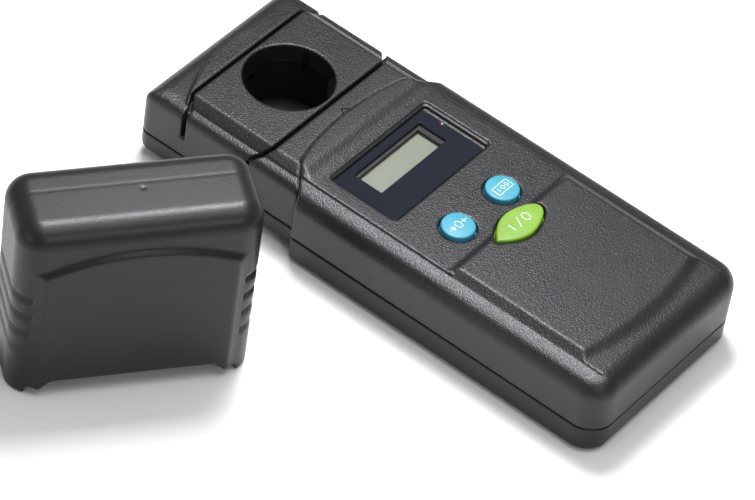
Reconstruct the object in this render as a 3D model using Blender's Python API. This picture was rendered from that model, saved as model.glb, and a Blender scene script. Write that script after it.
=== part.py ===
"""Hand-held water quality meter (a pocket colorimeter) with its light cap set down beside it.

The meter lies flat on its base. Origin: centre of the meter's underside. +X to the
right edge, +Y from the foot to the head (the end with the sample well), +Z up.
All lengths below are millimetres and are turned into metres when a mesh is made.
"""

import math

import bmesh
import bpy
from mathutils import Matrix, Vector

MM = 0.001

# ------------------------------------------------------------------ main sizes
HALF_W = 34.0            # half width of the main body
FOOT_Y = -83.7           # foot end of the case
HEAD_Y = 83.7            # head end of the case
STEP_Y = 24.7            # where the case narrows to the head that the cap slides over
HEAD_HALF_W = 31.2
SEAM_Z = 9.0             # top of the bottom shell
SEAM_GAP = 0.3
SHOULDER_Z = 26.4        # flat of the display zone
DECK_Z = 27.7            # raised fields
SHOULDER_R = 6.3
PLAN_R = 8.0             # vertical corners in plan
BASE_R = 2.5             # edge round the underside
HEAD_TOP_Z = 25.4
HEAD_EDGE_R = 3.6
HEAD_END_R = 7.0
HEAD_PLAN_R = 4.0
HEAD_BASE_Z = 2.0
WALL = 2.4

WELL = (0.0, 55.2)       # centre of the sample well
WELL_R = 13.4            # takes a 25 mm vial
WELL_FLOOR_Z = 6.0
SLOT_W = 1.6
# each slot: y across the deck, y at the foot of the deck's slope, y on the sides
SLOT_2 = (40.2, 42.2, 44.6)     # next to the neck
SLOT_1 = (70.4, 68.3, 67.7)     # next to the head end
PORT_Z = 17.6            # optical axis

ZERO_XY = (-11.8, -15.9)
READ_XY = (8.7, -15.7)
POWER_XY = (0.5, -27.7)
BUTTON_R = 5.0
BUTTON_TOP = 27.7        # round keys
POWER_TOP = 28.5         # power key
BUTTON_TRAVEL = 0.8

BOARD_Z = (17.5, 19.1)
CELL_R = 5.15            # AAA cell
CELL_PITCH = 11.0
CELL_Z = 7.9

CAP_H = 61.5
CAP_T = 29.4
CAP_FRONT = 1.4          # depth of the ribbed flanks behind the raised front field
CAP_AT = (-101.8, 24.0, 0.0)
CAP_TURN = math.atan2(-0.602, 0.798)

CASE_SCREWS = [(-28.0, -66.0), (28.0, -66.0), (-24.6, 76.4), (24.6, 76.4)]
BOARD_SCREWS = [(-24.0, 18.0), (24.0, 18.0), (-24.0, -46.0), (24.0, -46.0)]

for old in list(bpy.data.objects):
    bpy.data.objects.remove(old, do_unlink=True)


# ------------------------------------------------------------------ materials
def material(name, colour, roughness, metallic=0.0, alpha=1.0):
    made = bpy.data.materials.new(name)
    made.use_nodes = True
    shader = made.node_tree.nodes["Principled BSDF"]
    shader.inputs["Base Color"].default_value = (*colour, 1.0)
    shader.inputs["Roughness"].default_value = roughness
    shader.inputs["Metallic"].default_value = metallic
    shader.inputs["Alpha"].default_value = alpha
    made.diffuse_color = (*colour, 1.0)
    return made


CASE = material("charcoal_abs", (0.055, 0.055, 0.06), 0.5)
CASE_LOW = material("charcoal_abs_base", (0.05, 0.05, 0.053), 0.5)
CAP_M = material("charcoal_abs_cap", (0.05, 0.05, 0.055), 0.5)
HOLDER = material("black_acetal", (0.012, 0.012, 0.013), 0.35)
BLUE = material("blue_rubber", (0.10, 0.50, 0.66), 0.45)
GREEN = material("green_rubber", (0.30, 0.58, 0.06), 0.45)
LENS = material("smoked_window", (0.03, 0.035, 0.045), 0.08)
LCD = material("lcd_glass", (0.38, 0.40, 0.32), 0.2)
BLACK = material("black_plastic", (0.02, 0.02, 0.02), 0.5)
BOARD = material("green_board", (0.02, 0.16, 0.06), 0.45)
STEEL = material("steel", (0.55, 0.55, 0.56), 0.3, 1.0)
NICKEL = material("nickel", (0.62, 0.60, 0.55), 0.3, 1.0)
RUBBER = material("grey_rubber", (0.09, 0.09, 0.09), 0.8)
CHIP = material("chip_epoxy", (0.02, 0.02, 0.022), 0.6)
CELL = material("cell_jacket", (0.28, 0.24, 0.06), 0.35)
DIODE = material("clear_epoxy", (0.55, 0.6, 0.62), 0.1)
FILTER = material("filter_glass", (0.25, 0.05, 0.2), 0.05)
STRIP = material("elastomer_strip", (0.55, 0.25, 0.22), 0.7)


# ------------------------------------------------------------------ mesh helpers
def finish(name, bm, mat, origin=(0.0, 0.0, 0.0), sharp=35.0):
    """A mesh object from a bmesh in millimetres, with its origin at the given point."""
    bmesh.ops.triangulate(bm, faces=bm.faces[:])
    bmesh.ops.recalc_face_normals(bm, faces=bm.faces[:])
    shift = Vector(origin)
    for vert in bm.verts:
        vert.co = (vert.co - shift) * MM
    mesh = bpy.data.meshes.new(name)
    bm.to_mesh(mesh)
    bm.free()
    mesh.shade_smooth()
    mesh.set_sharp_from_angle(angle=math.radians(sharp))
    obj = bpy.data.objects.new(name, mesh)
    bpy.context.scene.collection.objects.link(obj)
    obj.location = shift * MM
    if mat is not None:
        mesh.materials.append(mat)
    return obj


def loft(loops):
    """Closed solid through loops of equal length; each loop is a list of points."""
    bm = bmesh.new()
    rings = [[bm.verts.new(p) for p in loop] for loop in loops]
    count = len(rings[0])
    for low, high in zip(rings, rings[1:]):
        for i in range(count):
            j = (i + 1) % count
            bm.faces.new((low[i], low[j], high[j], high[i]))
    bm.faces.new(list(reversed(rings[0])))
    bm.faces.new(rings[-1])
    return bm


def rounded(x0, x1, y0, y1, r, z, steps=5, r_far=None):
    """Rounded rectangle at height z; r_far is the corner radius at the y1 side."""
    far = r if r_far is None else r_far
    corners = (
        (x1 - far, y1 - far, far, 0.0),
        (x0 + far, y1 - far, far, 90.0),
        (x0 + r, y0 + r, r, 180.0),
        (x1 - r, y0 + r, r, 270.0),
    )
    points = []
    for cx, cy, radius, start in corners:
        for i in range(steps + 1):
            a = math.radians(start + 90.0 * i / steps)
            points.append((cx + radius * math.cos(a), cy + radius * math.sin(a), z))
    return points


def prism(outline, z0, z1):
    return loft([[(x, y, z0) for x, y in outline], [(x, y, z1) for x, y in outline]])


def block(x0, x1, y0, y1, z0, z1):
    return prism([(x0, y0), (x1, y0), (x1, y1), (x0, y1)], z0, z1)


def turned(profile, centre, axis="Z", steps=24):
    """Solid of revolution. profile: (radius, distance along the axis) pairs; radius 0 closes an end."""
    cx, cy, cz = centre
    bm = bmesh.new()
    rings = []
    for radius, along in profile:
        ring = []
        for i in range(steps if radius > 0 else 1):
            a = 2 * math.pi * i / steps
            u, v = radius * math.cos(a), radius * math.sin(a)
            if axis == "Z":
                p = (cx + u, cy + v, cz + along)
            elif axis == "Y":
                p = (cx + u, cy + along, cz + v)
            else:
                p = (cx + along, cy + u, cz + v)
            ring.append(bm.verts.new(p))
        rings.append(ring)
    for low, high in zip(rings, rings[1:]):
        for i in range(steps):
            j = (i + 1) % steps
            a, b = low[i % len(low)], low[j % len(low)]
            c, d = high[j % len(high)], high[i % len(high)]
            bm.faces.new(list(dict.fromkeys((a, b, c, d))))
    for ring, flip in ((rings[0], True), (rings[-1], False)):
        if len(ring) > 1:
            bm.faces.new(list(reversed(ring)) if flip else ring)
    return bm


def rod(centre, radius, z0, z1, axis="Z", steps=24):
    return turned([(radius, z0), (radius, z1)], centre, axis, steps)


def combine(target, bm, operation):
    """Boolean of the target with a bmesh solid, applied at once."""
    tool = finish("tool", bm, None)
    tool.hide_render = True
    tool.display_type = "WIRE"
    step = target.modifiers.new("step", "BOOLEAN")
    step.operation = operation
    step.solver = "EXACT"
    step.object = tool
    graph = bpy.context.evaluated_depsgraph_get()
    made = bpy.data.meshes.new_from_object(target.evaluated_get(graph))
    target.modifiers.remove(step)
    target.data = made
    bpy.data.objects.remove(tool, do_unlink=True)


def cut(target, bm):
    combine(target, bm, "DIFFERENCE")


def add(target, bm):
    combine(target, bm, "UNION")


def keep(target, bm):
    combine(target, bm, "INTERSECT")


def smooth(obj, sharp=35.0):
    obj.data.shade_smooth()
    obj.data.set_sharp_from_angle(angle=math.radians(sharp))


def as_tool(obj):
    """The object's mesh as a bmesh in millimetres; the object itself is removed."""
    bm = bmesh.new()
    bm.from_mesh(obj.data)
    bmesh.ops.scale(bm, vec=(1 / MM, 1 / MM, 1 / MM), verts=bm.verts[:])
    bpy.data.objects.remove(obj, do_unlink=True)
    return bm


def quarter(z_start, radius, steps):
    """(z, inset) pairs up a quarter round that ends radius further in."""
    pairs = []
    for i in range(steps + 1):
        a = math.radians(90.0 * i / steps)
        pairs.append((z_start + radius * math.sin(a), radius * (1 - math.cos(a))))
    return pairs


def shelled(x, y0, y1, z0, z_top, r_edge, r_plan, r_far, steps=5, levels=5):
    """Block with a rounded upper edge all round: half width x, from y0 to y1."""
    loops = [rounded(-x, x, y0, y1, r_plan, z0, steps, r_far)]
    for z, inset in quarter(z_top - r_edge, r_edge, levels):
        loops.append(
            rounded(
                -x + inset, x - inset, y0 + inset, y1 - inset,
                max(r_plan - inset, 1.2), z, steps, max(r_far - inset, 1.2),
            )
        )
    return loft(loops)


def arc_field(front, side_y, mid_y, half, steps=12):
    """Plan outline with a straight edge at y = front and a bowed edge at the other end."""
    points = [(half, front), (-half, front)]
    if mid_y < front:
        points.reverse()
    row = []
    for i in range(steps + 1):
        x = -half + 2 * half * i / steps
        row.append((x, side_y + (mid_y - side_y) * (1 - (x / half) ** 2)))
    return points + (row if mid_y > front else list(reversed(row)))


def field(outlines):
    return loft([[(x, y, z) for x, y in outline] for z, outline in outlines])


# ------------------------------------------------------------------ case outlines
def step_outline(y_low):
    """Plan of the main body: its far end is the bowed seam that the cap's mouth meets."""
    right = [(40.0, STEP_Y), (33.2, STEP_Y), (31.4, 25.4), (28.6, 27.6), (25.6, 29.9), (22.9, 31.7)]
    bow = [(x, 34.7 - 3.0 * (x / 22.9) ** 2) for x in (18.0, 12.0, 6.0, 0.0, -6.0, -12.0, -18.0)]
    left = [(-x, y) for x, y in reversed(right)]
    return [(-40.0, y_low), (40.0, y_low)] + right + bow + left


def inset_plan(inset, z0, z1):
    """The case's plan at the seam, as two overlapping prisms, both pulled in by inset."""
    main = loft([
        rounded(-HALF_W + inset, HALF_W - inset, FOOT_Y + inset, STEP_Y - inset, PLAN_R - inset, z, 5, 1.0)
        for z in (z0, z1)
    ])
    head = loft([
        rounded(-HEAD_HALF_W + inset, HEAD_HALF_W - inset, 10.0, HEAD_Y - inset, 1.0, z, 5, max(HEAD_PLAN_R - inset, 0.8))
        for z in (z0, z1)
    ])
    return main, head


def seam_ring(outer, inner, z0, z1):
    """Ring that follows the case's plan, between two insets from its outer face."""
    parts = inset_plan(outer, z0, z1)
    ring = finish("ring", parts[0], None)
    add(ring, parts[1])
    for part in inset_plan(inner, z0 - 1.0, z1 + 1.0):
        cut(ring, part)
    return ring


# ------------------------------------------------------------------ top shell
top_shell = finish(
    "top_shell",
    shelled(HALF_W, FOOT_Y, 44.0, SEAM_Z + SEAM_GAP, SHOULDER_Z, SHOULDER_R, PLAN_R, 2.0),
    CASE,
)
# raised foot field, with a bowed lower end
add(top_shell, field([
    (25.2, arc_field(-24.7, -71.3, -76.4, 29.0)),
    (26.2, arc_field(-24.7, -71.3, -76.4, 29.0)),
    (DECK_Z, arc_field(-26.2, -69.7, -72.4, 24.9)),
]))
# ridge between the display zone and the neck
add(top_shell, field([
    (25.2, [(-29.0, 24.6), (29.0, 24.6), (29.0, 40.0), (-29.0, 40.0)]),
    (26.2, [(-29.0, 24.6), (29.0, 24.6), (29.0, 40.0), (-29.0, 40.0)]),
    (DECK_Z, [(-24.9, 28.9), (24.9, 28.9), (24.9, 40.0), (-24.9, 40.0)]),
]))
keep(top_shell, prism(step_outline(-90.0), 5.0, 32.0))
head = finish("head", shelled(HEAD_HALF_W, 12.0, HEAD_Y, SEAM_Z + SEAM_GAP, HEAD_TOP_Z, HEAD_EDGE_R, 1.5, HEAD_PLAN_R), None)
end_profile = [(10.0, 5.0), (HEAD_Y, 5.0)]
for i in range(9):
    a = math.radians(90.0 * i / 8)
    end_profile.append((HEAD_Y - HEAD_END_R * (1 - math.cos(a)), HEAD_TOP_Z - HEAD_END_R * (1 - math.sin(a))))
end_profile.append((10.0, HEAD_TOP_Z))
keep(head, loft([[(x, y, z) for y, z in end_profile] for x in (-40.0, 40.0)]))
add(top_shell, as_tool(head))
# neck deck, then the cell block and the end piece
add(top_shell, field([
    (24.3, [(-28.0, 27.5), (28.0, 27.5), (28.0, 41.8), (-28.0, 41.8)]),
    (25.2, [(-28.0, 27.5), (28.0, 27.5), (28.0, 41.8), (-28.0, 41.8)]),
    (27.2, [(-24.7, 27.5), (24.7, 27.5), (24.7, 41.8), (-24.7, 41.8)]),
]))
add(top_shell, field([
    (24.3, arc_field(40.4, 71.6, 78.0, 28.0)),
    (25.2, arc_field(40.4, 71.6, 78.0, 28.0)),
    (27.5, arc_field(40.4, 71.0, 77.2, 24.7)),
]))
# hollow
cut(top_shell, shelled(HALF_W - WALL, FOOT_Y + WALL, STEP_Y - 2.2, 5.0, 24.2, 5.0, PLAN_R - WALL, 1.5))
cut(top_shell, shelled(HEAD_HALF_W - WALL, 18.0, HEAD_Y - WALL, 5.0, 23.0, 4.6, 1.5, HEAD_PLAN_R - 1.0))
# floors and walls of the two slots, and the collar of the well
for deck_y, mid_y, side_y in (SLOT_2, SLOT_1):
    low_y, high_y = min(deck_y, side_y) - 2.3, max(deck_y, side_y) + 2.3
    add(top_shell, block(-29.8, 29.8, low_y, high_y, 20.9, 24.2))
    for side in (-1, 1):
        low, high = sorted((side * 26.4, side * 29.8))
        add(top_shell, block(low, high, side_y - 2.3, side_y + 2.3, 14.4, 22.0))
add(top_shell, rod((*WELL, 0.0), WELL_R + 2.1, 20.3, 25.2, steps=40))
# bosses for the case screws and the board screws
for x, y in CASE_SCREWS:
    add(top_shell, rod((x, y, 0.0), 3.0, SEAM_Z + SEAM_GAP, 24.4, steps=16))
for x, y in BOARD_SCREWS:
    add(top_shell, rod((x, y, 0.0), 2.5, BOARD_Z[1] + 0.3, 24.6, steps=14))
# slots: straight across the deck, bent on the slopes, deep on the sides
for deck_y, mid_y, side_y in (SLOT_2, SLOT_1):
    line = [(24.7, deck_y), (28.0, mid_y), (31.2, side_y), (36.0, side_y)]
    line = [(-x, y) for x, y in reversed(line)] + line
    outline = [(x, y - SLOT_W / 2) for x, y in line] + [(x, y + SLOT_W / 2) for x, y in reversed(line)]
    cut(top_shell, prism(outline, 22.0, 30.0))
    for side in (-1, 1):
        low, high = sorted((side * 28.6, side * 36.0))
        cut(top_shell, block(low, high, side_y - SLOT_W / 2, side_y + SLOT_W / 2, 15.6, 23.0))
# sample well with a small lead-in
cut(top_shell, turned([(WELL_R, 15.0), (WELL_R, 26.9), (WELL_R + 0.5, 27.4), (WELL_R + 0.5, 30.0)],
                      (*WELL, 0.0), steps=40))
turn = Matrix.Rotation(math.radians(17.0), 4, "Z")
key_slot = block(WELL_R - 1.5, WELL_R + 1.2, -0.8, 0.8, 16.8, 25.6)
bmesh.ops.transform(key_slot, matrix=Matrix.Translation((*WELL, 0.0)) @ turn, verts=key_slot.verts[:])
cut(top_shell, key_slot)
turn_spring = Matrix.Rotation(math.radians(-37.0), 4, "Z")
spring_pocket = block(WELL_R - 1.5, WELL_R + 1.1, -2.9, 2.9, 15.0, 25.0)
bmesh.ops.transform(spring_pocket, matrix=Matrix.Translation((*WELL, 0.0)) @ turn_spring, verts=spring_pocket.verts[:])
cut(top_shell, spring_pocket)
# display window: two stepped rebates and the opening
cut(top_shell, block(-22.2, 21.3, -1.9, 22.1, 25.9, 29.0))
cut(top_shell, block(-22.2, 20.4, -1.9, 21.3, 24.9, 27.0))
cut(top_shell, block(-18.5, 17.6, 2.0, 18.4, 20.0, 27.0))
# key holes
for x, y in (ZERO_XY, READ_XY):
    cut(top_shell, rod((x, y, 0.0), BUTTON_R + 0.4, 20.0, 30.0, steps=28))


def pointed_oval(half_long, half_short, steps=9):
    """Outline of two arcs that meet in points on the X axis."""
    points = []
    for sign in (1, -1):
        for i in range(steps):
            x = sign * (half_long - 2 * half_long * i / steps)
            points.append((x, sign * half_short * (1 - (x / half_long) ** 2)))
    return points


def oval_prism(half_long, half_short, centre, z0, z1):
    cx, cy = centre
    return prism([(cx + x, cy + y) for x, y in pointed_oval(half_long, half_short)], z0, z1)


cut(top_shell, oval_prism(10.6, 5.5, POWER_XY, 20.0, 30.0))
# pilot holes in the bosses, and the rebate for the seal
for x, y in CASE_SCREWS:
    cut(top_shell, rod((x, y, 0.0), 1.4, 5.0, 17.0, steps=12))
for x, y in BOARD_SCREWS:
    cut(top_shell, rod((x, y, 0.0), 1.2, 15.0, 23.2, steps=10))
cut(top_shell, as_tool(seam_ring(1.2, 3.0, SEAM_Z - 1.0, 9.9)))
smooth(top_shell)


# ------------------------------------------------------------------ bottom shell
def under(x, y0, y1, z0, z1, r_side, r_end, r_plan, r_far, steps=4):
    """Block with its lower edge rounded: r_side along the sides and foot, r_end at the y1 end."""
    loops = []
    for i in range(steps + 1):
        a = math.radians(90.0 * i / steps)
        z = z0 + max(r_side, r_end) * (1 - math.cos(a))
        side = r_side - math.sqrt(max(r_side**2 - max(r_side - (z - z0), 0.0) ** 2, 0.0))
        end = r_end - math.sqrt(max(r_end**2 - max(r_end - (z - z0), 0.0) ** 2, 0.0)) if r_end else 0.0
        loops.append(rounded(-x + side, x - side, y0 + side, y1 - end, max(r_plan - side, 1.0), z, 5,
                             max(r_far - max(side, end), 1.0)))
    loops.append(rounded(-x, x, y0, y1, r_plan, z1, 5, r_far))
    return loft(loops)


bottom_shell = finish(
    "bottom_shell", under(HALF_W, FOOT_Y, STEP_Y, 0.0, SEAM_Z, BASE_R, 0.0, PLAN_R, 1.2), CASE_LOW
)
add(bottom_shell, under(HEAD_HALF_W, 14.0, HEAD_Y, HEAD_BASE_Z, SEAM_Z, 2.2, 6.0, 1.5, HEAD_PLAN_R))
cut(bottom_shell, under(HALF_W - WALL, FOOT_Y + WALL, STEP_Y - 2.2, 2.0, 12.0, 1.5, 0.0, PLAN_R - WALL, 1.2))
cut(bottom_shell, under(HEAD_HALF_W - WALL, 18.0, HEAD_Y - WALL, 4.0, 12.0, 1.2, 4.6, 1.5, HEAD_PLAN_R - 1.0))
# battery compartment, open below
add(bottom_shell, block(-24.4, 24.4, -80.9, -26.9, 1.0, 15.2))
add(bottom_shell, block(-24.4, 24.4, -82.0, -79.9, 1.4, 7.2))
cut(bottom_shell, block(-22.6, 22.6, -79.9, -28.4, 1.9, 13.7))
cut(bottom_shell, block(-21.6, 21.6, -78.6, -29.7, -1.0, 2.2))
cut(bottom_shell, block(-24.2, 24.2, -79.8, -28.3, -1.0, 1.2))
for x, y in CASE_SCREWS:
    floor = 1.0 if y < 0 else 3.0
    add(bottom_shell, rod((x, y, 0.0), 3.0, floor, SEAM_Z, steps=16))
    cut(bottom_shell, rod((x, y, 0.0), 1.5, -1.0, 12.0, steps=12))
    cut(bottom_shell, rod((x, y, 0.0), 2.5, -1.0, HEAD_BASE_Z * (y > 0) + 2.6, steps=16))
cut(bottom_shell, as_tool(seam_ring(1.2, 3.0, 7.8, 10.0)))
smooth(bottom_shell)

# ------------------------------------------------------------------ case seal
case_seal = finish("case_seal", as_tool(seam_ring(1.5, 2.3, 8.1, 9.6)), RUBBER)

# ------------------------------------------------------------------ battery door
battery_door = finish(
    "battery_door", loft([rounded(-23.8, 23.8, -79.4, -28.7, 1.5, z, 3) for z in (0.3, 0.9)]), CASE_LOW
)
add(battery_door, loft([rounded(-21.2, 21.2, -78.2, -30.1, 1.0, z, 3) for z in (0.6, 2.0)]))
cut(battery_door, block(-6.0, 6.0, -31.4, -27.0, -1.0, 0.75))
smooth(battery_door)

# ------------------------------------------------------------------ batteries and contacts
cell_x = [(i - 1.5) * CELL_PITCH for i in range(4)]
for number, x in enumerate(cell_x, 1):
    nub_at_head = number % 2 == 1
    body = [(0.0, 0.0), (3.8, 0.0), (4.2, 0.3), (CELL_R, 0.5), (CELL_R, 42.2), (4.6, 42.7), (1.9, 42.7), (1.9, 43.6), (0.0, 43.6)]
    if nub_at_head:
        profile = [(r, -73.4 + y) for r, y in body]
    else:
        profile = [(r, -35.2 - y) for r, y in body]
    finish(f"battery_{number}", turned(profile, (x, 0.0, CELL_Z), "Y", 20), CELL)
# foot contacts join cells 1-2 and 3-4, the head contact joins cells 2-3
plates = {
    "foot_contact_left": (-21.4, -0.8, -79.6, -79.1),
    "foot_contact_right": (0.8, 21.4, -79.6, -79.1),
    "head_contact_middle": (-9.8, 9.8, -29.2, -28.7),
    "head_contact_plus": (-21.4, -11.4, -29.2, -28.7),
    "head_contact_minus": (11.4, 21.4, -29.2, -28.7),
}
for name, (x0, x1, y0, y1) in plates.items():
    finish(name, block(x0, x1, y0, y1, 3.4, 12.4), NICKEL)


def coil(centre, r_start, r_end, y_start, y_end, turns, wire, steps=11, sides=5):
    """Conical compression spring along Y."""
    bm = bmesh.new()
    rings = []
    total = int(turns * steps)
    for i in range(total + 1):
        t = i / total
        a = 2 * math.pi * turns * t
        r = r_start + (r_end - r_start) * t
        mid = Vector((centre[0] + r * math.cos(a), y_start + (y_end - y_start) * t, centre[1] + r * math.sin(a)))
        radial = Vector((math.cos(a), 0.0, math.sin(a)))
        along = Vector((0.0, 1.0, 0.0))
        rings.append([
            bm.verts.new(mid + wire * (math.cos(b) * radial + math.sin(b) * along))
            for b in (2 * math.pi * k / sides for k in range(sides))
        ])
    for low, high in zip(rings, rings[1:]):
        for k in range(sides):
            bm.faces.new((low[k], low[(k + 1) % sides], high[(k + 1) % sides], high[k]))
    bm.faces.new(list(reversed(rings[0])))
    bm.faces.new(rings[-1])
    return bm


for number, x in enumerate(cell_x, 1):
    if number % 2 == 1:
        finish(f"battery_spring_{number}", coil((x, CELL_Z), 3.6, 1.9, -78.5, -74.0, 3.0, 0.28), NICKEL)
    else:
        finish(f"battery_spring_{number}", coil((x, CELL_Z), 3.6, 1.9, -29.8, -34.6, 3.0, 0.28), NICKEL)

# ------------------------------------------------------------------ main board and what is on it
main_board = finish("main_board", loft([rounded(-27.5, 27.5, -51.0, 21.4, 2.0, z, 3) for z in BOARD_Z]), BOARD)
for x, y in BOARD_SCREWS:
    cut(main_board, rod((x, y, 0.0), 1.3, 15.0, 22.0, steps=12))
smooth(main_board)
finish("main_chip", block(-5.0, 5.0, -6.0, 4.0, 15.4, 17.2), CHIP)
for label, (x, y) in (("zero", ZERO_XY), ("read", READ_XY), ("power", POWER_XY)):
    switch = finish(f"{label}_switch", block(x - 3.0, x + 3.0, y - 3.0, y + 3.0, 19.4, 20.4), BLACK)
    add(switch, rod((x, y, 0.0), 1.1, 20.0, 20.8, steps=12))
    smooth(switch)

# ------------------------------------------------------------------ display
lcd_frame = finish("lcd_frame", block(-18.0, 17.1, 2.5, 17.9, 19.4, 24.8), BLACK)
cut(lcd_frame, block(-17.3, 13.4, 7.2, 17.5, 18.0, 23.7))
cut(lcd_frame, block(-16.1, 12.1, 8.5, 17.1, 20.0, 26.0))
finish("lcd_glass", block(-17.0, 13.1, 7.5, 17.2, 21.0, 23.4), LCD)
finish("lcd_connector_strip", block(-15.6, 12.0, 7.9, 9.9, 19.4, 20.7), STRIP)
finish("window_lens", loft([rounded(-21.9, 18.8, -1.6, 20.8, 1.0, z, 3) for z in (25.2, 26.1)]), LENS)

# ------------------------------------------------------------------ keys
for label, (x, y) in (("zero", ZERO_XY), ("read", READ_XY)):
    key = finish(
        f"{label}_button",
        turned([(0.0, 21.7), (2.0, 21.7), (2.0, 23.0), (6.2, 23.0), (6.2, 23.9), (BUTTON_R, 24.0),
                (BUTTON_R, 26.9), (4.7, 27.4), (4.1, BUTTON_TOP - 0.1), (0.0, BUTTON_TOP)], (x, y, 0.0), steps=28),
        BLUE, origin=(x, y, 23.0),
    )
power_button = finish("power_button", oval_prism(11.9, 6.4, POWER_XY, 23.0, 23.9), GREEN)
add(power_button, field([
    (z, [(POWER_XY[0] + u, POWER_XY[1] + v) for u, v in pointed_oval(a, b)])
    for z, a, b in ((23.4, 10.0, 5.05), (27.6, 10.0, 5.05), (28.3, 9.3, 4.6), (POWER_TOP, 8.6, 4.1))
]))
add(power_button, rod((*POWER_XY, 0.0), 2.0, 21.7, 23.5, steps=14))
smooth(power_button)
for vert in power_button.data.vertices:
    vert.co -= Vector((*POWER_XY, 23.0)) * MM
power_button.location = Vector((*POWER_XY, 23.0)) * MM

# ------------------------------------------------------------------ sample cell and optics
cell_holder = finish("cell_holder", rod((*WELL, 0.0), WELL_R + 2.1, 4.5, 20.0, steps=40), HOLDER)
cut(cell_holder, rod((*WELL, 0.0), WELL_R, WELL_FLOOR_Z, 25.0, steps=40))
cut(cell_holder, turned([(1.75, -20.0), (1.75, 20.0)], (WELL[0], WELL[1], PORT_Z), "Y", 16))
for pocket, matrix in ((block(WELL_R - 1.5, WELL_R + 1.2, -0.8, 0.8, 16.8, 25.6), turn),
                       (block(WELL_R - 1.5, WELL_R + 1.1, -2.9, 2.9, 13.0, 25.0), turn_spring)):
    bmesh.ops.transform(pocket, matrix=Matrix.Translation((*WELL, 0.0)) @ matrix, verts=pocket.verts[:])
    cut(cell_holder, pocket)
smooth(cell_holder)

# bowed leaf that holds the vial against the far wall
leaf_loops = []
for i in range(9):
    z = 13.4 + (24.6 - 13.4) * i / 8
    bow = 1.3 * math.sin(math.pi * i / 8)
    inner, outer = WELL_R + 0.5 - bow, WELL_R + 0.8 - bow
    leaf_loops.append([(inner, -2.4, z), (outer, -2.4, z), (outer, 2.4, z), (inner, 2.4, z)])
leaf = loft(leaf_loops)
bmesh.ops.transform(leaf, matrix=Matrix.Translation((*WELL, 0.0)) @ turn_spring, verts=leaf.verts[:])
finish("vial_spring", leaf, STEEL)

led_holder = finish("led_holder", block(-5.0, 5.0, 71.2, 78.8, 12.5, 20.4), HOLDER)
cut(led_holder, turned([(1.8, 60.0), (1.8, 75.5), (2.5, 75.5), (2.5, 90.0)], (0.0, 0.0, PORT_Z), "Y", 16))
smooth(led_holder)
finish("led", turned([(0.0, 71.6), (0.9, 71.9), (1.45, 73.0), (1.45, 75.8), (2.1, 75.8), (2.1, 76.8), (1.2, 76.8), (1.2, 79.0), (0.0, 79.0)],
                     (0.0, 0.0, PORT_Z), "Y", 14), DIODE)
finish("led_board", block(-7.0, 7.0, 79.3, 80.5, 9.0, 20.4), BOARD)
detector_holder = finish("detector_holder", block(-6.0, 6.0, 30.6, 39.2, 12.0, 20.6), HOLDER)
cut(detector_holder, turned([(2.6, 20.0), (2.6, 37.4), (1.8, 37.4), (1.8, 50.0)], (0.0, 0.0, PORT_Z), "Y", 16))
smooth(detector_holder)
finish("optical_filter", rod((0.0, 0.0, PORT_Z), 2.2, 35.2, 37.0, "Y", 16), FILTER)
finish("photodiode", turned([(0.0, 30.6), (2.2, 30.6), (2.2, 33.6), (1.8, 34.2), (0.0, 34.2)], (0.0, 0.0, PORT_Z), "Y", 14), DIODE)
finish("detector_board", block(-8.0, 8.0, 29.0, 30.2, 9.0, 20.4), BOARD)
finish("sensor_cable", prism([(-3.0, 12.0), (3.0, 12.0), (3.0, 28.6), (-3.0, 28.6)], 15.6, 16.4), RUBBER)

# ------------------------------------------------------------------ screws
for number, (x, y) in enumerate(CASE_SCREWS, 1):
    lift = HEAD_BASE_Z * (y > 0)
    profile = [(0.0, 1.4), (0.9, 0.5), (2.1, 0.5), (2.1, 2.2), (1.1, 2.2), (1.1, 15.0 - lift), (0.0, 15.8 - lift)]
    finish(f"case_screw_{number}", turned([(r, z + lift) for r, z in profile], (x, y, 0.0), steps=14), STEEL)
for number, (x, y) in enumerate(BOARD_SCREWS, 1):
    profile = [(0.0, 16.2), (0.8, 15.8), (1.9, 15.8), (1.9, 17.1), (0.9, 17.1), (0.9, 22.2), (0.0, 22.8)]
    finish(f"board_screw_{number}", turned(profile, (x, y, 0.0), steps=12), STEEL)

# ------------------------------------------------------------------ cap, standing on its mouth
# Cap's own frame: X across, Y from the front field to the back, Z up from the mouth.
CAP_R = 7.0
CAP_TOP_R = 6.5


def cap_loop(z, inset, steps=5):
    return rounded(-HALF_W + inset, HALF_W - inset, CAP_FRONT + inset, CAP_T - inset, max(CAP_R - inset, 1.2), z, steps)


cap = finish(
    "cap",
    loft([cap_loop(0.0, 0.0)] + [cap_loop(z, inset) for z, inset in quarter(CAP_H - CAP_TOP_R, CAP_TOP_R, 5)]),
    CAP_M,
)
# grip notches on both flanks
for low in (17.6, 24.4, 31.0, 37.6):
    for side in (-1, 1):
        x0, x1 = sorted((side * 26.6, side * 36.0))
        notch = block(x0, x1, -1.0, CAP_T - 6.0, low - 2.4, low)
        tool = finish("notch", notch, None)
        cut(tool, loft([rounded(-HALF_W + 0.9, HALF_W - 0.9, CAP_FRONT + 0.9, CAP_T + 5.0, CAP_R - 0.9, z, 5) for z in (0.0, 60.0)]))
        cut(cap, as_tool(tool))
# raised front field with a bowed top
rows = []
for depth, half, side_z, mid_z in ((CAP_FRONT + 1.0, 28.4, 47.6, 53.4), (0.0, 26.4, 46.2, 51.6)):
    loop = [(-half, depth, 0.0), (half, depth, 0.0)]
    for i in range(11):
        x = half - 2 * half * i / 10
        loop.append((x, depth, side_z + (mid_z - side_z) * (1 - (x / half) ** 2)))
    rows.append(loop)
add(cap, loft(rows))
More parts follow.
